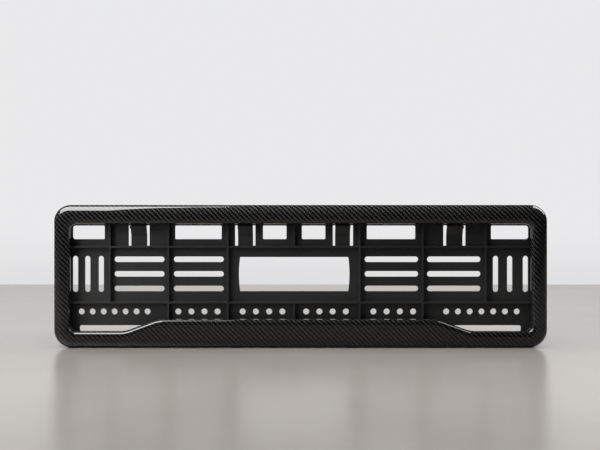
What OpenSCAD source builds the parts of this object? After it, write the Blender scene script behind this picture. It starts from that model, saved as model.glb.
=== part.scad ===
// Number plate holder: a moulded plastic base that screws to the car, and a
// carbon fibre surround that closes over its edge. It stands upright on its long
// bottom edge, with the front facing -Y, the rear face towards +Y and the origin
// at the middle of the bottom edge. All sizes are in millimetres.

/* [Number plate] */
// Width of the plate that the holder takes
plate_w = 520; // [516:1:520]
// Height of the plate that the holder takes
plate_h = 110; // [106:0.5:112]

/* [Surround] */
// Overall width
holder_w = 560; // [559:0.5:562]
// Overall height
holder_h = 162; // [161.5:0.1:163]
// Overall depth, from the rear face to the crown of the surround
holder_d = 19; // [19:0.5:22]
// Outer radius of the two top corners
top_r = 18.5; // [16:0.5:22]
// Outer radius of the two bottom corners
bottom_r = 20.5; // [16:0.5:24]
// Width of the surround at its two sides, from its outer edge to the opening
side_w = 17.5; // [17.5:0.1:18.5]
// Width of the surround along its top
top_w = 21.3; // [20.8:0.1:21.8]
// Width of the surround at the two ends of its bottom
bottom_w = 18.4; // [18:0.1:19.2]
// Radius of the opening's corners
opening_r = 8; // [5:0.5:10]
// Radius of the rounded edge of the opening
edge_r = 3.6; // [3:0.1:4]
// Thickness of the carbon skin
skin = 2; // [1.6:0.1:2.4]
// How far the middle of the bottom stands up above its two ends
lip_rise = 13.7; // [8:0.1:16]
// Middle of the left S-curve, from the centre of the holder
lip_left_x = -180; // [-185:0.5:-150]
// Middle of the right S-curve, from the centre of the holder
lip_right_x = 173.5; // [150:0.5:185]
// Steepest angle of the S-curves
lip_slope = 20; // [16:0.5:26]
// Radius of the bends of the S-curves
lip_bend_r = 34; // [16:1:36]

/* [Base] */
// Thickness of the base's panel
panel_t = 2.2; // [1.8:0.1:3]
// Height of the ribs above the rear face
rib_top = 8; // [6:0.5:9]
// Thickness of the ribs
rib_t = 2; // [1.4:0.1:2.2]
// Thickness of the wall around the recess
wall_t = 2; // [1.6:0.1:2.4]
// Height of the upper rib above the bottom edge
upper_rib_z = 114.2; // [113.8:0.1:115.2]
// Height of the lower rib above the bottom edge
lower_rib_z = 50.5; // [49.8:0.1:52]
// Position of the middle rib, from the centre of the holder
middle_rib_x = -7.4; // [-8:0.1:-6.8]

/* [Openings] */
// Width of the screw slots
slot_w = 6.4; // [5:0.1:6.6]
// Diameter of the screw holes
hole_d = 6.9; // [5:0.1:7]
// Height of the row of screw holes
hole_z = 39.6; // [38.6:0.1:41]
// Distance between the three rows of screw slots
slot_pitch = 16.75; // [14:0.05:17]
// Height of the windows along the top
window_h = 15.6; // [10:0.1:15.8]
// Width of the window in the middle
cable_window_w = 124.2; // [80:0.1:124.6]
// Height of the window in the middle
cable_window_h = 39.3; // [20:0.5:40]

/* [Hidden] */
$fn = 48;

// ---- section of the surround: heights are above the rear face ----
skirt_z = 0.6;                  // rear edge of the skirt
edge_a = 10.9;                  // width of the rounded outer edge
edge_b = 7;                     // height of the rounded outer edge
edge_z = holder_d - edge_b;
band_b = 6.5;                   // width of the slope down to the opening
lap = 0.7;                      // level strip where the pieces of the surround meet
return_z = 12.8;                // rear end of the opening's edge
slope_a = 12;                   // steepest angle of the slope, where the rounding starts
draft = 0.35;                   // how far the opening's edge leans in towards the back

// ---- opening of the surround ----
open_x = holder_w / 2 - side_w;
open_top = holder_h - top_w;
open_bottom = bottom_w;
open_mid = open_bottom + lip_rise;
bend_sin = sin(lip_slope);
bend_cos = cos(lip_slope);
lip_straight = (lip_rise - 2 * lip_bend_r * (1 - bend_cos)) / bend_sin;
lip_run = 2 * lip_bend_r * bend_sin + lip_straight * bend_cos;

// ---- recess of the base ----
wall_z = return_z;
wall_x = plate_w / 2 + 2.6;
wall_top = open_top + 0.1;
wall_bottom = open_bottom - 1.6;
wall_r = 7;
skirt_gap = 0.3;
base_inset = skin + skirt_gap;

// ---- columns of the grid, from the middle rib outwards ----
left_ribs = [-75.8, -143.7, -210.5];
right_ribs = [74.9, 146.9, 218.9];
rib_x = [for (d = left_ribs) middle_rib_x + d];
rib_xr = [for (d = right_ribs) middle_rib_x + d];

// Windows along the top: [left edge, right edge]
windows = [[-261.4, -224.8], [-144, -90.6], [-43.2, -16.2], [1.5, 28.4], [76, 131.7], [218.5, 261.5]];
window_top = wall_top - 2.55;
// Spring tongues: [left edge, right edge, left slit, right slit]
tongues = [[-194.3, -176.2, 3.1, 2.9], [-71.8, -54.6, 3.4, 2.7], [39.6, 56.7, 2.6, 3.5], [167.2, 185.8, 3.4, 3.6]];
tongue_root = upper_rib_z + rib_t / 2;
tongue_top = wall_top - 2.3;
slit_top = wall_top - 2.4;
// Upright slots: middle of each one
upright_slots = [-258.4, -244.4, -228.9, 223.8, 240.1, 258.1];
slot_mid_z = 82.8;
upright_mid_z = 82.75;
upright_len = 41.5;
// Level slots: [middle, length] of each column
level_slots = [[-184.95, 57.4], [-116.9, 57.4], [104.25, 61.4], [175.85, 61.4]];
// Screw holes: [middle of the first hole, number of holes, distance between them]
hole_rows = [[-251.4, 7, 12.6], [-140.4, 4, 15], [-66.5, 4, 15.2], [6.4, 4, 15.2], [83.6, 4, 15.2], [167.2, 7, 13.5]];
// Slots under the plate: [left end, right end]
strip_slots = [[-253.6, -150], [148, 253]];
strip_slot_top = wall_bottom + 7.1;
strip_slot_r = 2.5;
cable_window_x = -7.35;
cable_window_z = 82.55;
cable_bow = 1.4;

// ---- plane shapes ----
module rounded(w, z0, z1, r_top, r_bottom) {
  difference() {
    translate([-w / 2, z0]) square([w, z1 - z0]);
    for (s = [-1, 1]) {
      corner_cut(s * w / 2, z1, -s, -1, r_top);
      corner_cut(s * w / 2, z0, -s, 1, r_bottom);
    }
  }
}

module corner_cut(x, y, sx, sy, r) {
  translate([x + sx * r, y + sy * r])
    difference() {
      translate([sx > 0 ? -r - 1 : 0, sy > 0 ? -r - 1 : 0]) square(r + 1);
      circle(r, $fn = 96);
    }
}

module slot(len, w) {
  union() {
    square([len - w, w], center = true);
    for (s = [-1, 1]) translate([s * (len - w) / 2, 0]) circle(d = w);
  }
}

// ---- section of the rounded outer edge: inset from the outline, and height ----
slope_len = band_b - lap;
function arc_pts(a, b, z, inset, n) = [for (i = [0:n]) [inset + a - a * cos(90 * i / n), z + b * sin(90 * i / n)]];
edge_sec = concat(
  [[0, skirt_z]],
  arc_pts(edge_a, edge_b, edge_z, 0, 9),
  [[edge_a + lap, holder_d], [edge_a + lap, holder_d - skin]],
  [for (i = [9:-1:0]) arc_pts(edge_a - skin, edge_b - skin, edge_z, skin, 9)[i]],
  [[skin, skirt_z]]
);

// ---- section of the slope to the opening: distance from the opening's edge ----
turn_e = edge_r * (1 - sin(slope_a));
slope_k = tan(slope_a) / (1.6 * pow(slope_len - turn_e, 0.6));
function slope_z_at(e) = holder_d - slope_k * pow(slope_len - e, 1.6);
edge_mid = slope_z_at(turn_e) - edge_r * cos(slope_a);
band_sec = concat(
  [[-draft, return_z]],
  [for (i = [0:6]) let (a = (90 - slope_a) * i / 6) [edge_r * (1 - cos(a)), edge_mid + edge_r * sin(a)]],
  [for (i = [1:3]) let (e = turn_e + (slope_len - turn_e) * i / 4) [e, slope_z_at(e)]],
  [[slope_len, holder_d], [band_b, holder_d], [band_b, holder_d - skin]],
  [[slope_len, holder_d - skin], [skin + 1.2, holder_d - skin - 0.45], [skin, edge_mid + 0.2], [skin, return_z]]
);

// Bar of a section that runs down -Y, with the section's first axis along +X
module bar(sec, len, flip = 1) {
  rotate([90, 0, 0]) linear_extrude(len) polygon([for (p = sec) [flip * p[0], p[1]]]);
}

// Quarter or part turn of a section; r is the radius at the section's start
module turn(sec, r, flip, from, sweep) {
  rotate([0, 0, from]) rotate_extrude(angle = sweep, $fn = 96) polygon([for (p = sec) [r + flip * p[0], p[1]]]);
}

module outer_edge() {
  w = holder_w / 2;
  h = holder_h;
  for (m = [0, 1]) mirror([m, 0, 0]) {
    translate([w, h - top_r, 0]) bar(edge_sec, h - top_r - bottom_r, -1);
    translate([w - top_r, h - top_r, 0]) turn(edge_sec, top_r, -1, 0, 90);
    translate([w - bottom_r, bottom_r, 0]) turn(edge_sec, bottom_r, -1, -90, 90);
  }
  translate([-w + top_r, h, 0]) rotate([0, 0, 90]) bar(edge_sec, holder_w - 2 * top_r, -1);
  translate([w - bottom_r, 0, 0]) rotate([0, 0, -90]) bar(edge_sec, holder_w - 2 * bottom_r, -1);
}

// Small flat at the foot of each lower corner, rising 8 degrees from the end of the flat underside
module corner_flats() {
  for (m = [0, 1]) mirror([m, 0, 0]) translate([holder_w / 2 - bottom_r - 0.5, 0, -1])
    linear_extrude(holder_d + 2) polygon([[0, 0], [0, -1], [9, -1], [9, 9 * tan(8)]]);
}

// A closed outline moved inwards by d, so that a straight stretch ends inside the bends it joins
function unit(v) = v / norm(v);
function turned_in(p, d) = [for (i = [0:len(p) - 1])
  let (n = len(p), u = unit(p[i] - p[(i + n - 1) % n]), v = unit(p[(i + 1) % n] - p[i]),
       a = [u[1], -u[0]], b = [v[1], -v[0]])
  p[i] + d * (a + b) / (1 + a * b)];
sink = 0.01;
overlap = 0.5;

// One S-curve, rising from (0, 0) to (lip_run, lip_rise)
module s_curve() {
  translate([0, lip_bend_r, 0]) turn(band_sec, lip_bend_r, 1, -90, lip_slope);
  translate([lip_run - lip_bend_r * bend_sin, lip_rise - lip_bend_r * (1 - bend_cos), 0])
    rotate([0, 0, lip_slope - 90]) translate([0, overlap, 0]) bar(turned_in(band_sec, sink), lip_straight + 2 * overlap);
  translate([lip_run, lip_rise - lip_bend_r, 0]) turn(band_sec, lip_bend_r, -1, 90, lip_slope);
}

module opening_edge() {
  x = open_x;
  r = opening_r;
  for (m = [0, 1]) mirror([m, 0, 0]) {
    translate([x, open_top - r, 0]) bar(band_sec, open_top - open_bottom - 2 * r);
    translate([x - r, open_top - r, 0]) turn(band_sec, r, 1, 0, 90);
    translate([x - r, open_bottom + r, 0]) turn(band_sec, r, 1, -90, 90);
  }
  translate([-x + r, open_top, 0]) rotate([0, 0, 90]) bar(band_sec, 2 * (x - r));
  // bottom edge, from left to right
  l0 = lip_left_x - lip_run / 2;
  l1 = lip_left_x + lip_run / 2;
  r0 = lip_right_x - lip_run / 2;
  r1 = lip_right_x + lip_run / 2;
  translate([l0, open_bottom, 0]) rotate([0, 0, -90]) bar(band_sec, l0 + x - r);
  translate([l0, open_bottom, 0]) s_curve();
  translate([r0, open_mid, 0]) rotate([0, 0, -90]) bar(band_sec, r0 - l1);
  translate([r1, open_bottom, 0]) mirror([1, 0, 0]) s_curve();
  translate([x - r, open_bottom, 0]) rotate([0, 0, -90]) bar(band_sec, x - r - r1);
}

// Points of an S-curve moved down by e, from its lower to its upper end
function s_pts(e) = concat(
  [for (i = [0:6]) let (a = lip_slope * i / 6) [(lip_bend_r + e) * sin(a), lip_bend_r - (lip_bend_r + e) * cos(a)]],
  [for (i = [6:-1:0]) let (a = lip_slope * i / 6) [lip_run - (lip_bend_r - e) * sin(a), lip_rise - lip_bend_r + (lip_bend_r - e) * cos(a)]]
);

// Outline of the opening, moved outwards by e
function corner_pts(x, z, r, from) = [for (i = [0:24]) [x + r * cos(from + 3.75 * i), z + r * sin(from + 3.75 * i)]];
function opening_pts(e) = let (p = s_pts(e), n = len(p) - 1, x = open_x - opening_r, r = opening_r + e) concat(
  corner_pts(-x, open_bottom + opening_r, r, 180),
  [for (q = p) [lip_left_x - lip_run / 2 + q[0], open_bottom + q[1]]],
  [for (i = [n:-1:0]) [lip_right_x + lip_run / 2 - p[i][0], open_bottom + p[i][1]]],
  corner_pts(x, open_bottom + opening_r, r, 270),
  corner_pts(x, open_top - opening_r, r, 0),
  corner_pts(-x, open_top - opening_r, r, 90)
);

// Level face between the outer edge and the slope, all round
module face() {
  o = edge_a + 0.15;
  translate([0, 0, holder_d - skin]) linear_extrude(skin) difference() {
    rounded(holder_w - 2 * o, o, holder_h - o, top_r - o, bottom_r - o);
    polygon(opening_pts(band_b - lap / 2));
  }
}

module surround_body() {
  difference() {
    union() {
      outer_edge();
      opening_edge();
      face();
    }
    corner_flats();
  }
}

// ---- base ----
module panel_cuts() {
  for (s = windows) window(s[0], s[1]);
  for (x = upright_slots) translate([x, upright_mid_z]) rotate(90) slot(upright_len, slot_w - 0.2);
  for (s = level_slots, k = [-1:1]) translate([s[0], slot_mid_z + k * slot_pitch]) slot(s[1], slot_w);
  for (s = strip_slots) strip_slot(s[0], s[1]);
  for (t = tongues) translate([t[0] - t[2], tongue_root]) square([t[1] - t[0] + t[2] + t[3], slit_top - tongue_root]);
  cable_window();
}

module window(x0, x1) {
  // the two end windows have rounder outer corners
  outer_l = x0 < -wall_x + 10 ? 3 : 1.2;
  outer_r = x1 > wall_x - 10 ? 3 : 1.2;
  z0 = window_top - window_h;
  difference() {
    translate([x0, z0]) square([x1 - x0, window_h]);
    corner_cut(x0, window_top, 1, -1, outer_l);
    corner_cut(x0, z0, 1, 1, outer_l);
    corner_cut(x1, window_top, -1, -1, outer_r);
    corner_cut(x1, z0, -1, 1, outer_r);
  }
}

module strip_slot(x0, x1) {
  z0 = wall_bottom - 0.2;
  difference() {
    translate([x0, z0]) square([x1 - x0, strip_slot_top - z0]);
    corner_cut(x0, strip_slot_top, 1, -1, strip_slot_r);
    corner_cut(x0, z0, 1, 1, strip_slot_r);
    corner_cut(x1, strip_slot_top, -1, -1, strip_slot_r);
    corner_cut(x1, z0, -1, 1, strip_slot_r);
  }
}

// The middle window's two ends bow outwards a little
module cable_window() {
  w = cable_window_w / 2;
  h = cable_window_h / 2;
  n = 8;
  translate([cable_window_x, cable_window_z])
    polygon(concat(
      [for (i = [0:n]) let (t = -1 + 2 * i / n) [w + cable_bow * (1 - t * t), h * t]],
      [for (i = [0:n]) let (t = 1 - 2 * i / n) [-w - cable_bow * (1 - t * t), h * t]]
    ));
}

module panel() {
  difference() {
    linear_extrude(panel_t)
      rounded(holder_w - 2 * base_inset, base_inset, holder_h - base_inset, top_r - base_inset, bottom_r - base_inset);
    translate([0, 0, -1]) linear_extrude(panel_t + 2) panel_cuts();
    for (g = hole_rows, i = [0:g[1] - 1]) translate([g[0] + i * g[2], hole_z, -1]) cylinder(h = panel_t + 2, d = hole_d);
  }
}

module recess_wall() {
  difference() {
    linear_extrude(wall_z) rounded(2 * (wall_x + wall_t), wall_bottom - wall_t, wall_top + wall_t, wall_r + wall_t, wall_r + wall_t);
    translate([0, 0, -1]) linear_extrude(wall_z + 2) rounded(2 * wall_x, wall_bottom, wall_top, wall_r, wall_r);
  }
}

module rib(x0, x1, z0, z1) {
  translate([x0, z0, panel_t / 2]) cube([x1 - x0, z1 - z0, rib_top - panel_t / 2]);
}

module ribs() {
  e = wall_t / 2;
  t = rib_t / 2;
  for (z = [lower_rib_z, upper_rib_z]) rib(-wall_x - e, wall_x + e, z - t, z + t);
  for (x = [rib_x[2], rib_xr[2]]) rib(x - t, x + t, lower_rib_z, wall_top + e);
  for (x = [rib_x[0], rib_x[1], rib_xr[0], rib_xr[1]]) rib(x - t, x + t, wall_bottom - e, wall_top + e);
  rib(middle_rib_x - t, middle_rib_x + t, upper_rib_z, wall_top + e);
  rib(middle_rib_x - t, middle_rib_x + t, wall_bottom - e, lower_rib_z);
  // ledge that the plate's lower edge stands on, behind the raised middle of the surround
  ledge_z = tongue_top - 1.6 - plate_h;
  translate([rib_x[1], ledge_z - rib_t, panel_t / 2]) cube([rib_xr[1] - rib_x[1], rib_t, 10 - panel_t / 2]);
}

// Spring tongue, seen from its side: it leans forward and hooks over the plate's upper edge
module tongue(x0, x1) {
  top = tongue_top;
  t = panel_t;
  back = rib_top - 0.4;
  prof = [
    [tongue_root - 0.6, 0], [tongue_root + 12.6, 0], [top, back - t],
    [top, 11.3], [top - 0.8, 11.9], [top - 3.2, 11.5], [top - 3.4, 11.2], [top - 3.4, 9.8], [top - 1.4, 9.8],
    [top - 1.4, back], [tongue_root + 11.8, t], [tongue_root - 0.6, t]
  ];
  translate([x0, 0, 0]) rotate([90, 0, 90]) linear_extrude(x1 - x0) polygon(prof);
}

module base_body() {
  union() {
    panel();
    recess_wall();
    ribs();
    for (t = tongues) tongue(t[0], t[1]);
  }
}

// Turns the flat layout upright, with its front towards -Y
module upright() {
  translate([0, holder_d / 2, 0]) rotate([90, 0, 0]) children();
}

module base_plate() {
  color([0.11, 0.11, 0.12]) upright() base_body();
}

module carbon_surround() {
  color([0.05, 0.05, 0.055]) upright() surround_body();
}

base_plate();
carbon_surround();
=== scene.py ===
"""Looks of the number plate holder: a moulded plastic base and a glossy carbon fibre surround."""
import math

import bpy
import numpy as np
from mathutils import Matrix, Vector


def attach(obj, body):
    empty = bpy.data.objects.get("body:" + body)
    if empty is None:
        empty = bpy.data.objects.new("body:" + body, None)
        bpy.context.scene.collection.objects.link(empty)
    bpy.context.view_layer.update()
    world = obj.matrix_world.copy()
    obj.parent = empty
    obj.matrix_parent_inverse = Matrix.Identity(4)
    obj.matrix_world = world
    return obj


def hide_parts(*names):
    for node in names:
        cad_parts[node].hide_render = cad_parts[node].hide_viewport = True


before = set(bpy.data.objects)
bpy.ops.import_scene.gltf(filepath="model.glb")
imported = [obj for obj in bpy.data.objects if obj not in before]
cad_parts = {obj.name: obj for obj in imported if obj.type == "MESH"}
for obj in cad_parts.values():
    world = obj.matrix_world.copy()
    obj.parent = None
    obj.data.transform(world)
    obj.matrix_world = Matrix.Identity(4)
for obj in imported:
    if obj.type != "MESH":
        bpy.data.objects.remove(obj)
scene = bpy.context.scene
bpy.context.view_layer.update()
MM = 0.001

# ---------------------------------------------------------------- camera
# The view is level and straight from the front, a little above the holder's upper edge. 920 pixels of focal length.
cam_data = bpy.data.cameras.new("front_camera")
cam_data.sensor_width = 36.0
cam_data.lens = 36.0 * 920.0 / 600.0
cam_data.clip_start = 0.05
cam_data.clip_end = 60.0
camera = bpy.data.objects.new("front_camera", cam_data)
cam_data.shift_x = -0.6 / 600.0
cam_data.shift_y = -27.95 / 600.0
camera.location = (0.0, -1.0485, 0.171)
camera.rotation_euler = (math.radians(90.0), 0.0, 0.0)
scene.collection.objects.link(camera)
scene.camera = camera

# ---------------------------------------------------------------- sizes, in millimetres
# In the flat layout x runs right, y runs up from the bottom edge and z runs forward from the rear face.
W, H, D = 560.0, 162.0, 19.0
TOP_R, BOTTOM_R = 18.5, 20.5
SIDE_W, TOP_W, BOTTOM_W = 17.5, 21.3, 18.4
EDGE_A, EDGE_B = 10.9, 7.0
SKIRT_Z = 0.6
SKIN = 2.0
OPEN_R = 8.0
OPEN_X = W / 2 - SIDE_W
OPEN_TOP = H - TOP_W
OPEN_BOTTOM = BOTTOM_W
LIP_RISE = 13.7
LIP_LEFT, LIP_RIGHT = -180.0, 173.5
LIP_R = 34.0
LIP_A = math.radians(20.0)
SLOPE_LEN = 5.8
SLOPE_A = math.radians(12.0)   # steepest angle of the slope, where the rounding starts
ROUND_R = 3.6                  # rounding of the opening's edge
RETURN_Z = 12.8
LEAN = math.radians(9.0)       # how much the opening's edge leans in towards the back
TURN_E = ROUND_R * (1 - math.sin(SLOPE_A))
SLOPE_K = math.tan(SLOPE_A) / (1.6 * (SLOPE_LEN - TURN_E) ** 0.6)


def place(x, y, z):
    """A point of the flat layout, in the shared frame, in metres."""
    return (x * MM, (D / 2 - z) * MM, y * MM)


def aim(nx, ny, nz):
    """A direction of the flat layout, in the shared frame."""
    return (nx, -nz, ny)


# ---------------------------------------------------------------- the two outlines of the surround
CORNER = 18
SIDE = 14
TOP = 56


def corner(cx, cy, r, a0, a1, n):
    """Points and outward directions on a corner, without the last one."""
    return [(cx + r * math.cos(a), cy + r * math.sin(a), math.cos(a), math.sin(a))
            for a in (a0 + (a1 - a0) * i / n for i in range(n))]


def line(p, q, d, n):
    """Points on a straight stretch with one direction, without the last one."""
    return [(p[0] + (q[0] - p[0]) * i / n, p[1] + (q[1] - p[1]) * i / n, d[0], d[1]) for i in range(n)]


def lip_curve():
    """The S-curve that rises from (0, 0), with directions into the surround: first bend, straight, second bend."""
    s, c = math.sin(LIP_A), math.cos(LIP_A)
    straight = (LIP_RISE - 2 * LIP_R * (1 - c)) / s
    run = 2 * LIP_R * s + straight * c
    pts = []
    for i in range(10):
        a = LIP_A * i / 10
        pts.append((LIP_R * math.sin(a), LIP_R - LIP_R * math.cos(a), math.sin(a), -math.cos(a)))
    p0 = (LIP_R * s, LIP_R - LIP_R * c)
    p1 = (run - LIP_R * s, LIP_RISE - LIP_R + LIP_R * c)
    pts += [(p0[0] + (p1[0] - p0[0]) * i / 6, p0[1] + (p1[1] - p0[1]) * i / 6, s, -c) for i in range(6)]
    for i in range(10, 0, -1):
        a = LIP_A * i / 10
        pts.append((run - LIP_R * math.sin(a), LIP_RISE - LIP_R + LIP_R * math.cos(a), math.sin(a), -math.cos(a)))
    return pts, run


def outlines():
    curve, run = lip_curve()
    low, high = OPEN_BOTTOM, OPEN_BOTTOM + LIP_RISE
    x, r = OPEN_X, OPEN_R
    l0, l1 = LIP_LEFT - run / 2, LIP_LEFT + run / 2
    r0, r1 = LIP_RIGHT - run / 2, LIP_RIGHT + run / 2
    bottom = line((-x + r, low), (l0, low), (0, -1), 16)
    bottom += [(l0 + p[0], low + p[1], p[2], p[3]) for p in curve]
    bottom += line((l1, high), (r0, high), (0, -1), 44)
    back = [(r1 - p[0], low + p[1], -p[2], p[3]) for p in curve]
    bottom += [(r0, high, 0.0, -1.0)] + back[:0:-1]
    bottom += line((r1, low), (x - r, low), (0, -1), 16)
    inner = bottom
    inner = inner + corner(x - r, low + r, r, -math.pi / 2, 0, CORNER)
    inner = inner + line((x, low + r), (x, OPEN_TOP - r), (1, 0), SIDE)
    inner = inner + corner(x - r, OPEN_TOP - r, r, 0, math.pi / 2, CORNER)
    inner = inner + line((x - r, OPEN_TOP), (-x + r, OPEN_TOP), (0, 1), TOP)
    inner = inner + corner(-x + r, OPEN_TOP - r, r, math.pi / 2, math.pi, CORNER)
    inner = inner + line((-x, OPEN_TOP - r), (-x, low + r), (-1, 0), SIDE)
    inner = inner + corner(-x + r, low + r, r, math.pi, 1.5 * math.pi, CORNER)
    w, bx, tx = W / 2, W / 2 - BOTTOM_R, W / 2 - TOP_R
    outer = [(p[0] * bx / (x - r), 0.0, 0.0, -1.0) for p in bottom]
    outer += corner(bx, BOTTOM_R, BOTTOM_R, -math.pi / 2, 0, CORNER)
    outer += line((w, BOTTOM_R), (w, H - TOP_R), (1, 0), SIDE)
    outer += corner(tx, H - TOP_R, TOP_R, 0, math.pi / 2, CORNER)
    outer += line((tx, H), (-tx, H), (0, 1), TOP)
    outer += corner(-tx, H - TOP_R, TOP_R, math.pi / 2, math.pi, CORNER)
    outer += line((-w, H - TOP_R), (-w, BOTTOM_R), (-1, 0), SIDE)
    outer += corner(-bx, BOTTOM_R, BOTTOM_R, math.pi, 1.5 * math.pi, CORNER)
    return np.array(outer), np.array(inner)


# ---------------------------------------------------------------- the section of the surround
# Each entry is (distance from the outline, height, direction away from the rim, direction forward).
def edge_section(a, b, inset, n, base=SKIRT_Z):
    pts = []
    for i in range(n + 1):
        t = math.pi / 2 * i / n
        m = math.hypot(math.cos(t) / a, math.sin(t) / b)
        pts.append((inset + a - a * math.cos(t), D - EDGE_B + b * math.sin(t), math.cos(t) / a / m, math.sin(t) / b / m))
    return pts


def slope_z(e):
    return D - SLOPE_K * (SLOPE_LEN - e) ** 1.6


def slope_angle(e):
    return math.atan(SLOPE_K * 1.6 * (SLOPE_LEN - e) ** 0.6)


EDGE_MID = slope_z(TURN_E) - ROUND_R * math.cos(SLOPE_A)


def opening_section():
    """From the level face down the slope and round to the rear end of the opening's edge."""
    pts = []
    n = 12
    for i in range(n):
        e = SLOPE_LEN + (TURN_E - SLOPE_LEN) * i / n
        a = slope_angle(e)
        pts.append((e, slope_z(e), math.sin(a), math.cos(a)))
    a0 = math.pi / 2 - SLOPE_A
    n = 16
    for i in range(n + 1):
        a = a0 + (LEAN - a0) * i / n
        pts.append((ROUND_R - ROUND_R * math.cos(a), EDGE_MID + ROUND_R * math.sin(a), math.cos(a), math.sin(a)))
    last = pts[-1]
    pts.append((last[0] - (last[1] - RETURN_Z) * math.tan(LEAN), RETURN_Z, math.cos(LEAN), math.sin(LEAN)))
    return pts


def arc_lengths(sec):
    s = [0.0]
    for p, q in zip(sec, sec[1:]):
        s.append(s[-1] + math.hypot(q[0] - p[0], q[1] - p[1]))
    return s


def build_surround():
    outer, inner = outlines()
    n = len(outer)
    assert len(inner) == n
    rings, normals, weave = [], [], []

    def ring(line_pts, dist, z, nr, nf, flow, sign):
        """sign is +1 where the outline's direction points away from the rim, -1 where it points into it."""
        p, d = line_pts[:, :2], line_pts[:, 2:]
        at = p - sign * dist * d
        rings.append([place(a[0], a[1], z) for a in at])
        normals.append([aim(sign * nr * v[0], sign * nr * v[1], nf) for v in d])
        weave.append((p - sign * flow * d))

    # front skin, from the rear end of the skirt over the crown to the rear end of the opening's edge
    sec = edge_section(EDGE_A, EDGE_B, 0.0, 22)
    skirt = [(0.3, SKIRT_Z, 0.6, -0.8), (0.09, SKIRT_Z + 0.09, 0.85, -0.5), (0.0, SKIRT_Z + 0.3, 1.0, 0.0), (0.0, 6.0, 1.0, 0.0)]
    sec = skirt + sec
    run = arc_lengths(sec)
    total = run[-1]
    for p, s in zip(sec, run):
        ring(outer, p[0], p[1], p[2], p[3], EDGE_A - (total - s), 1)
    sec = opening_section()
    run = arc_lengths(sec)
    for p, s in zip(sec, run):
        ring(inner, p[0], p[1], p[2], p[3], SLOPE_LEN - s, -1)
    front = len(rings)
    # back of the skin
    for e, z in ((SKIN, RETURN_Z), (SKIN, EDGE_MID + 0.2), (SKIN + 1.2, D - SKIN - 0.45), (SLOPE_LEN, D - SKIN)):
        ring(inner, e, z, 0, -1, e, -1)
    inner_edge = edge_section(EDGE_A - SKIN, EDGE_B - SKIN, SKIN, 10)[::-1]
    for p in inner_edge:
        ring(outer, p[0], p[1], -p[2], -p[3], p[0], 1)
    ring(outer, SKIN, SKIRT_Z, -1, 0, SKIN, 1)

    count = len(rings)
    verts = [v for r in rings for v in r]
    faces, mats, loop_normals, loop_weave = [], [], [], []
    for k in range(count):
        k2 = (k + 1) % count
        for i in range(n):
            i2 = (i + 1) % n
            faces.append((k * n + i, k * n + i2, k2 * n + i2, k2 * n + i))
            mats.append(0 if k < front - 1 else 1)
    mesh = bpy.data.meshes.new("carbon_shell")
    mesh.from_pydata(verts, [], faces)
    mesh.polygons.foreach_set("material_index", mats)
    mesh.polygons.foreach_set("use_smooth", [True] * len(faces))
    uv = mesh.uv_layers.new(name="weave")
    flat_w = np.concatenate(weave)
    loops = np.zeros(len(mesh.loops), int)
    mesh.loops.foreach_get("vertex_index", loops)
    uv.data.foreach_set("uv", (flat_w[loops]).astype(np.float32).ravel())
    # true directions on the front skin, flat ones at the ends and worked-out ones behind
    flat_n = np.concatenate([np.array(r) for r in normals])
    mesh.update()
    face_n = np.zeros(len(faces) * 3)
    mesh.polygons.foreach_get("normal", face_n)
    face_n = face_n.reshape(-1, 3)
    chosen = []
    for f in range(len(faces)):
        k = f // n
        for v in faces[f]:
            chosen.append(tuple(flat_n[v]) if k < front - 1 else tuple(face_n[f]))
    mesh.normals_split_custom_set(chosen)
    return bpy.data.objects.new("carbon_shell", mesh)


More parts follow.
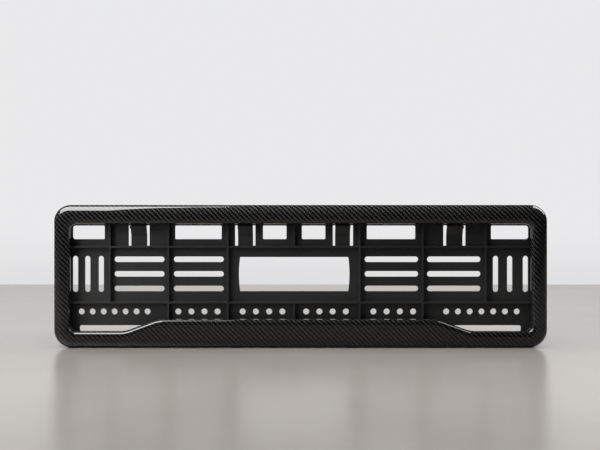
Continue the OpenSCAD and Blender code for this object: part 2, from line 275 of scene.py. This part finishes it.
# ---------------------------------------------------------------- material helpers
class Nodes:
    """Short names for the nodes of one material."""

    def __init__(self, name):
        self.mat = bpy.data.materials.new(name)
        self.mat.use_nodes = True
        self.tree = self.mat.node_tree
        self.tree.nodes.clear()
        self.out = self.tree.nodes.new("ShaderNodeOutputMaterial")
        self.bsdf = self.tree.nodes.new("ShaderNodeBsdfPrincipled")
        self.tree.links.new(self.bsdf.outputs[0], self.out.inputs["Surface"])

    def put(self, socket, value):
        if isinstance(value, (int, float)):
            socket.default_value = value
        elif isinstance(value, tuple):
            socket.default_value = value
        else:
            self.tree.links.new(value, socket)

    def math(self, op, a, b=0.0, c=0.0, clamp=False):
        nd = self.tree.nodes.new("ShaderNodeMath")
        nd.operation = op
        nd.use_clamp = clamp
        self.put(nd.inputs[0], a)
        self.put(nd.inputs[1], b)
        self.put(nd.inputs[2], c)
        return nd.outputs[0]

    def mix(self, f, a, b):
        """a where f is 0, b where f is 1, for numbers."""
        nd = self.tree.nodes.new("ShaderNodeMix")
        nd.data_type = "FLOAT"
        self.put(nd.inputs[0], f)
        self.put(nd.inputs[2], a)
        self.put(nd.inputs[3], b)
        return nd.outputs[0]

    def mix_colour(self, f, a, b):
        nd = self.tree.nodes.new("ShaderNodeMix")
        nd.data_type = "RGBA"
        self.put(nd.inputs[0], f)
        self.put(nd.inputs[6], a)
        self.put(nd.inputs[7], b)
        return nd.outputs[2]

    def noise(self, vector, scale, detail=3.0, rough=0.5):
        nd = self.tree.nodes.new("ShaderNodeTexNoise")
        self.put(nd.inputs["Vector"], vector)
        nd.inputs["Scale"].default_value = scale
        nd.inputs["Detail"].default_value = detail
        nd.inputs["Roughness"].default_value = rough
        return nd.outputs["Fac"]

    def ramp(self, value, lo, hi, to_lo=0.0, to_hi=1.0, smooth=False):
        nd = self.tree.nodes.new("ShaderNodeMapRange")
        nd.interpolation_type = "SMOOTHSTEP" if smooth else "LINEAR"
        self.put(nd.inputs["Value"], value)
        nd.inputs["From Min"].default_value = lo
        nd.inputs["From Max"].default_value = hi
        nd.inputs["To Min"].default_value = to_lo
        nd.inputs["To Max"].default_value = to_hi
        return nd.outputs["Result"]

    def object_point(self):
        return self.tree.nodes.new("ShaderNodeTexCoord").outputs["Object"]

    def split(self, vector):
        nd = self.tree.nodes.new("ShaderNodeSeparateXYZ")
        self.put(nd.inputs[0], vector)
        return nd.outputs

    def bump(self, height, distance, strength=1.0, normal=None):
        nd = self.tree.nodes.new("ShaderNodeBump")
        nd.inputs["Strength"].default_value = strength
        nd.inputs["Distance"].default_value = distance
        self.put(nd.inputs["Height"], height)
        if normal is not None:
            self.put(nd.inputs["Normal"], normal)
        return nd.outputs[0]


TOW = 1.4              # width of one tow of the twill, in millimetres


def twill(m, u, v):
    """A 2x2 twill from two coordinates in tows. Gives which tow is on top, its crown and its height."""
    i = m.math("FLOOR", u)
    j = m.math("FLOOR", v)
    k = m.math("FLOORED_MODULO", m.math("ADD", i, j), 4.0)
    warp = m.math("LESS_THAN", k, 1.5)
    fu = m.math("SUBTRACT", m.math("SUBTRACT", u, i), 0.5)
    fv = m.math("SUBTRACT", m.math("SUBTRACT", v, j), 0.5)
    # along the float, from 0 to 2 tows
    along_warp = m.math("FLOORED_MODULO", m.math("ADD", v, i), 4.0)
    along_weft = m.math("SUBTRACT", m.math("FLOORED_MODULO", m.math("ADD", u, j), 4.0), 2.0)
    across = m.mix(warp, fv, fu)
    along = m.math("SUBTRACT", m.mix(warp, along_weft, along_warp), 1.0)
    a2 = m.math("MULTIPLY", m.math("MULTIPLY", across, across), 4.0)
    l2 = m.math("MULTIPLY", along, along)
    crown = m.math("MULTIPLY", m.math("SUBTRACT", 1.0, a2, clamp=True), m.math("SUBTRACT", 1.0, m.math("MULTIPLY", l2, l2), clamp=True))
    return warp, crown, across, along


def carbon_material():
    m = Nodes("carbon_clearcoat")
    uvn = m.tree.nodes.new("ShaderNodeUVMap")
    uvn.uv_map = "weave"
    u0, v0, _ = m.split(uvn.outputs[0])
    # the cloth lies a little unevenly
    wob = m.tree.nodes.new("ShaderNodeTexNoise")
    wob.inputs["Scale"].default_value = 0.045
    wob.inputs["Detail"].default_value = 2.0
    m.put(wob.inputs["Vector"], uvn.outputs[0])
    w1, w2, _ = m.split(wob.outputs["Color"])
    u = m.math("ADD", m.math("DIVIDE", u0, TOW), m.math("MULTIPLY", w1, 0.7))
    v = m.math("ADD", m.math("DIVIDE", v0, TOW), m.math("MULTIPLY", w2, 0.7))
    warp, crown, across, along = twill(m, u, v)
    # fine fibres along each tow
    fib = m.tree.nodes.new("ShaderNodeTexNoise")
    fib.noise_dimensions = "2D"
    fib.inputs["Scale"].default_value = 1.0
    fib.inputs["Detail"].default_value = 2.0
    comb = m.tree.nodes.new("ShaderNodeCombineXYZ")
    m.put(comb.inputs[0], m.mix(warp, m.math("MULTIPLY", v, 7.0), m.math("MULTIPLY", u, 7.0)))
    m.put(comb.inputs[1], m.mix(warp, m.math("MULTIPLY", u, 0.6), m.math("MULTIPLY", v, 0.6)))
    m.put(fib.inputs["Vector"], comb.outputs[0])
    fibre = fib.outputs["Fac"]
    # painted sheen: the crest of each float is painted brighter, much brighter where the warp is on top, standing in
    # for the fibres' reflection of the lights
    lit = m.math("MULTIPLY", m.math("POWER", crown, 1.5), m.mix(fibre, 0.7, 1.3))
    bright = m.math("MULTIPLY", lit, warp)
    dim = m.math("MULTIPLY", lit, m.math("SUBTRACT", 1.0, warp))
    level = m.math("ADD", m.math("MULTIPLY", bright, 0.022), m.math("MULTIPLY", dim, 0.0005))
    level = m.math("ADD", level, 0.0002)
    col = m.tree.nodes.new("ShaderNodeCombineColor")
    m.put(col.inputs[0], level)
    m.put(col.inputs[1], level)
    m.put(col.inputs[2], m.math("MULTIPLY", level, 1.02))
    m.put(m.bsdf.inputs["Base Color"], col.outputs[0])
    m.put(m.bsdf.inputs["Roughness"], m.mix(warp, 0.6, 0.45))
    m.bsdf.inputs["Specular IOR Level"].default_value = 0.02
    m.bsdf.inputs["Coat Weight"].default_value = 1.0
    m.bsdf.inputs["Coat Roughness"].default_value = 0.03
    m.bsdf.inputs["Coat IOR"].default_value = 1.45
    m.put(m.bsdf.inputs["Normal"], m.bump(crown, 0.00008, 0.5))
    return m.mat


def raw_carbon_material():
    m = Nodes("carbon_raw_back")
    x, y, z = m.split(m.object_point())
    u = m.math("DIVIDE", x, TOW * MM)
    v = m.math("DIVIDE", z, TOW * MM)
    warp, crown, _, _ = twill(m, u, v)
    # painted sheen: each tow is painted lighter towards its crest, the warp more than the weft
    level = m.math("ADD", m.math("MULTIPLY", crown, m.mix(warp, 0.004, 0.02)), 0.006)
    col = m.tree.nodes.new("ShaderNodeCombineColor")
    for k in range(3):
        m.put(col.inputs[k], level)
    m.put(m.bsdf.inputs["Base Color"], col.outputs[0])
    m.put(m.bsdf.inputs["Roughness"], m.mix(crown, 0.62, 0.5))
    m.put(m.bsdf.inputs["Normal"], m.bump(crown, 0.0002, 0.6))
    return m.mat


def plastic_material():
    m = Nodes("moulded_plastic")
    p = m.object_point()
    big = m.noise(p, 9.0, 3.0)
    mid = m.noise(p, 60.0, 3.0)
    fine = m.noise(p, 1500.0, 3.0, 0.6)
    level = m.ramp(m.math("ADD", m.math("MULTIPLY", big, 0.6), m.math("MULTIPLY", mid, 0.4)), 0.3, 0.7, 0.0068, 0.0095)
    level = m.math("MULTIPLY", level, m.ramp(fine, 0.3, 0.7, 0.88, 1.12))
    col = m.tree.nodes.new("ShaderNodeCombineColor")
    m.put(col.inputs[0], level)
    m.put(col.inputs[1], level)
    m.put(col.inputs[2], m.math("MULTIPLY", level, 1.05))
    m.put(m.bsdf.inputs["Base Color"], col.outputs[0])
    rough = m.ramp(m.math("ADD", big, m.math("MULTIPLY", fine, 0.5)), 0.5, 1.0, 0.40, 0.54)
    # the walls round the recess are smoother than the panel
    x, _, z = m.split(p)
    wall = m.math("MAXIMUM", m.math("GREATER_THAN", m.math("ABSOLUTE", x), (OPEN_X - 0.4) * MM), m.math("LESS_THAN", z, (OPEN_BOTTOM - 1.2) * MM))
    m.put(m.bsdf.inputs["Roughness"], m.mix(wall, rough, 0.16))
    m.bsdf.inputs["Specular IOR Level"].default_value = 0.32
    m.put(m.bsdf.inputs["Normal"], m.bump(fine, 0.00006, 0.5))
    return m.mat


# ---------------------------------------------------------------- pieces
shell = build_surround()
scene.collection.objects.link(shell)
shell.data.materials.append(carbon_material())
shell.data.materials.append(raw_carbon_material())
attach(shell, "root")
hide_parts("carbon_surround")

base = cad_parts["base_plate"]
plastic = plastic_material()
if len(base.data.materials):
    for i in range(len(base.data.materials)):
        base.data.materials[i] = plastic
else:
    base.data.materials.append(plastic)
weld = base.modifiers.new("join", "WELD")
weld.merge_threshold = 0.00001
flat = base.modifiers.new("flat_faces", "DECIMATE")
flat.decimate_type = "DISSOLVE"
flat.angle_limit = math.radians(1.0)
soft = base.modifiers.new("soft_edges", "BEVEL")
soft.width = 0.0003
soft.segments = 2
soft.limit_method = "ANGLE"
soft.angle_limit = math.radians(35)
soft.harden_normals = True

# ---------------------------------------------------------------- floor
def floor_material():
    m = Nodes("polished_floor")
    p = m.object_point()
    t = m.math("ADD", m.math("MULTIPLY", m.noise(p, 2.0, 3.0), 0.6), m.math("MULTIPLY", m.noise(p, 9.0, 3.0), 0.4))
    col = m.mix_colour(m.ramp(t, 0.35, 0.65), (0.515, 0.475, 0.43, 1.0), (0.575, 0.535, 0.49, 1.0))
    # paler just in front of the holder, and painted shade making it darker further out towards the camera
    _, y, _ = m.split(p)
    paler_near_painted_shade_far = m.math("MULTIPLY", m.ramp(y, -0.16, 0.0, 1.13, 1.0), m.ramp(y, -1.0, -0.24, 0.22, 1.0))
    scaled = m.tree.nodes.new("ShaderNodeVectorMath")
    scaled.operation = "SCALE"
    m.put(scaled.inputs[0], col)
    m.put(scaled.inputs["Scale"], paler_near_painted_shade_far)
    m.put(m.bsdf.inputs["Base Color"], scaled.outputs[0])
    m.bsdf.inputs["Roughness"].default_value = 0.26
    m.bsdf.inputs["Specular IOR Level"].default_value = 0.40
    return m.mat


mesh = bpy.data.meshes.new("floor")
far, near, side = 0.75, -4.0, 4.0
mesh.from_pydata([(-side, near, 0), (side, near, 0), (side, far, 0), (-side, far, 0)], [], [(0, 1, 2, 3)])
floor = bpy.data.objects.new("floor", mesh)
scene.collection.objects.link(floor)
floor.data.materials.append(floor_material())


# ---------------------------------------------------------------- studio light
def card(name, corners, power, diffuse=False, colour=(1.0, 1.0, 1.0)):
    """A lit panel outside the view. corners are in metres and face the holder."""
    me = bpy.data.meshes.new(name)
    me.from_pydata([tuple(c) for c in corners], [], [tuple(range(len(corners)))])
    ob = bpy.data.objects.new(name, me)
    scene.collection.objects.link(ob)
    mat = bpy.data.materials.new(name)
    mat.use_nodes = True
    t = mat.node_tree
    t.nodes.clear()
    out = t.nodes.new("ShaderNodeOutputMaterial")
    em = t.nodes.new("ShaderNodeEmission")
    em.inputs[0].default_value = (*colour, 1.0)
    em.inputs[1].default_value = power
    t.links.new(em.outputs[0], out.inputs["Surface"])
    me.materials.append(mat)
    ob.visible_camera = False
    ob.visible_diffuse = diffuse
    ob.visible_shadow = False
    ob.visible_transmission = False
    ob.visible_volume_scatter = False
    return ob


def area(name, loc, target, sx, sy, watts, colour=(1.0, 1.0, 1.0), diffuse=True, glossy=True):
    li = bpy.data.lights.new(name, "AREA")
    li.shape = "RECTANGLE"
    li.size, li.size_y = sx, sy
    li.energy = watts
    li.color = colour
    ob = bpy.data.objects.new(name, li)
    ob.location = loc
    d = np.array(target, float) - np.array(loc, float)
    ob.rotation_euler = Vector(d).to_track_quat("-Z", "Y").to_euler()
    ob.visible_camera = False
    ob.visible_diffuse = diffuse
    ob.visible_glossy = glossy
    scene.collection.objects.link(ob)
    return ob


# big panel above and in front on the left: the bright band on the crown
card("panel_left", [(-0.28, -0.20, 1.90), (-0.58, -1.476, 1.114), (-2.3, -1.476, 1.114), (-2.3, -0.20, 1.90)], 16.0)
card("panel_left_top", [(-0.32, -0.22, 1.88), (-0.40, -0.60, 1.88), (-2.3, -0.60, 1.88), (-2.3, -0.22, 1.88)], 23.0)
# narrow strip over the whole width
card("panel_strip", [(-1.5, -0.42, 1.75), (-1.5, -0.70, 1.75), (2.2, -0.70, 1.75), (2.2, -0.42, 1.75)], 0.1)
# the left panel's narrow end, which carries the thin line on the crown further to the right
card("panel_left_end", [(-0.36, -0.20, 1.86), (-0.40, -0.75, 1.62), (-0.24, -0.45, 1.86), (-0.20, -0.20, 1.86)], 15.0)
# narrow panel on the right
card("panel_right", [(0.85, 0.45, 1.7), (2.2, 0.45, 0.9), (2.2, -0.05, 0.9), (0.85, -0.60, 1.7)], 13.0)

sky = area("sky", (0.0, -0.5, 2.4), (0.0, 0.1, 0.0), 3.6, 2.6, 66.0, glossy=False)
# soft strip close above the holder, a soft light on its left for the cloth under the lacquer, and one for the plastic
def lit_only(name, *obs):
    group = bpy.data.collections.new(name)
    for ob in obs:
        group.objects.link(ob)
    return group


shell_only = lit_only("shell_only", shell)
base_only = lit_only("base_only", base)
not_shell = lit_only("not_shell", base, floor)
sky.light_linking.receiver_collection = not_shell
for name, loc, target, sx, sy, watts, group, shine in (
        ("strip_cloth", (-0.24, -0.060, 0.315), (-0.24, -0.03, 0.0), 1.00, 0.03, 9.0, shell_only, False),
        ("side_cloth", (-1.05, -0.30, 0.22), (-0.2, 0.0, 0.08), 0.3, 0.3, 13.0, shell_only, False),
        ("strip_plastic", (-0.34, -0.060, 0.315), (-0.34, -0.03, 0.0), 0.80, 0.03, 1.6, base_only, False),
        ("front_left", (-1.20, -0.90, 0.50), (-0.1, 0.0, 0.08), 0.9, 0.9, 14.0, base_only, True)):
    ob = area(name, loc, target, sx, sy, watts, glossy=shine)
    ob.light_linking.receiver_collection = group

world = bpy.data.worlds.new("studio")
scene.world = world
world.use_nodes = True
t = world.node_tree
t.nodes.clear()
out = t.nodes.new("ShaderNodeOutputWorld")
bg = t.nodes.new("ShaderNodeBackground")
tc = t.nodes.new("ShaderNodeTexCoord")
sep = t.nodes.new("ShaderNodeSeparateXYZ")
t.links.new(tc.outputs["Generated"], sep.inputs[0])


def wmap(sock, lo, hi, a, b, smooth=True):
    nd = t.nodes.new("ShaderNodeMapRange")
    nd.interpolation_type = "SMOOTHSTEP" if smooth else "LINEAR"
    t.links.new(sock, nd.inputs["Value"])
    for n_, v_ in (("From Min", lo), ("From Max", hi), ("To Min", a), ("To Max", b)):
        nd.inputs[n_].default_value = v_
    return nd.outputs["Result"]


def wmath(op, a, b):
    nd = t.nodes.new("ShaderNodeMath")
    nd.operation = op
    for k, v_ in enumerate((a, b)):
        if isinstance(v_, (int, float)):
            nd.inputs[k].default_value = v_
        else:
            t.links.new(v_, nd.inputs[k])
    return nd.outputs[0]


# a bright wall behind the holder and a dim room in front of it
behind = wmap(sep.outputs["Y"], 0.62, 0.82, 0.0, 1.0)
height = wmap(sep.outputs["Z"], 0.35, 0.6, 1.0, 0.0)
level = wmap(sep.outputs["Z"], 0.02, 0.24, 0.42, 1.15, smooth=False)
wall = wmath("MULTIPLY", behind, height)
lit = wmath("ADD", wmath("MULTIPLY", wall, level), 0.02)
seen = wmap(sep.outputs["Z"], -0.095, -0.03, 0.755, 0.83)
lp = t.nodes.new("ShaderNodeLightPath")
mix = t.nodes.new("ShaderNodeMix")
mix.data_type = "FLOAT"
t.links.new(lp.outputs["Is Camera Ray"], mix.inputs[0])
t.links.new(lit, mix.inputs[2])
t.links.new(seen, mix.inputs[3])
t.links.new(mix.outputs[0], bg.inputs["Strength"])
bg.inputs["Color"].default_value = (0.985, 0.985, 1.0, 1.0)
t.links.new(bg.outputs[0], out.inputs["Surface"])

scene.view_settings.view_transform = "Standard"
scene.view_settings.look = "None"
scene.view_settings.exposure = 0.0
scene.view_settings.gamma = 1.0
